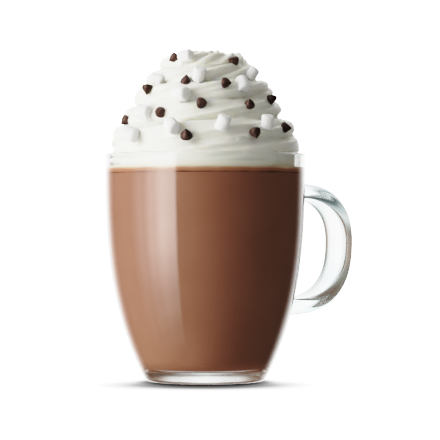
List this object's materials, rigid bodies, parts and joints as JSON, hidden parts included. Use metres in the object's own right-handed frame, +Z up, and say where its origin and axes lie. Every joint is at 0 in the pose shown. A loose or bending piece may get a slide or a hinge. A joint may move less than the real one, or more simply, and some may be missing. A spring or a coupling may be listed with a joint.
{
  "type": "caffe mocha",
  "caption": "Clear glass mug with a loop handle, filled with mocha under a piped swirl of whipped cream dotted with mini marshmallows and chocolate chips.",
  "frame": {"origin": "centre of the mug's flat underside, on the surface the mug stands on", "axes": "+Z up along the mug's axis; +X from the mug's axis towards its handle; +Y completes the right-handed frame, square to the handle's plane"},
  "size_m": [0.1338, 0.095, 0.157],
  "materials": {
    "clear_glass": "clear pressed glass, fire polished",
    "mocha": "smooth milky brown liquid, wet against the glass",
    "melted_cream": "tan froth where melted cream meets the drink",
    "whipped_cream": "soft piped whipped cream with a faint sheen",
    "marshmallow": "soft matte sugar foam, dusted",
    "dark_chocolate": "satin dark chocolate"
  },
  "bodies": {
    "root": {"mug": "clear_glass", "drink": "mocha", "froth": "melted_cream", "cream": "whipped_cream", "marshmallow_01": "marshmallow", "marshmallow_02": "marshmallow", "marshmallow_03": "marshmallow", "marshmallow_04": "marshmallow", "marshmallow_05": "marshmallow", "marshmallow_06": "marshmallow", "marshmallow_07": "marshmallow", "marshmallow_08": "marshmallow", "marshmallow_09": "marshmallow", "marshmallow_10": "marshmallow", "marshmallow_11": "marshmallow", "marshmallow_12": "marshmallow", "marshmallow_13": "marshmallow", "marshmallow_14": "marshmallow", "marshmallow_15": "marshmallow", "marshmallow_16": "marshmallow", "marshmallow_17": "marshmallow", "marshmallow_18": "marshmallow", "marshmallow_19": "marshmallow", "marshmallow_20": "marshmallow", "chip_01": "dark_chocolate", "chip_02": "dark_chocolate", "chip_03": "dark_chocolate", "chip_04": "dark_chocolate", "chip_05": "dark_chocolate", "chip_06": "dark_chocolate", "chip_07": "dark_chocolate", "chip_08": "dark_chocolate", "chip_09": "dark_chocolate", "chip_10": "dark_chocolate", "chip_11": "dark_chocolate", "chip_12": "dark_chocolate", "chip_13": "dark_chocolate", "chip_14": "dark_chocolate", "chip_15": "dark_chocolate", "chip_16": "dark_chocolate", "chip_17": "dark_chocolate", "chip_18": "dark_chocolate", "chip_19": "dark_chocolate", "chip_20": "dark_chocolate", "chip_21": "dark_chocolate", "chip_22": "dark_chocolate"}
  },
  "joints": []
}
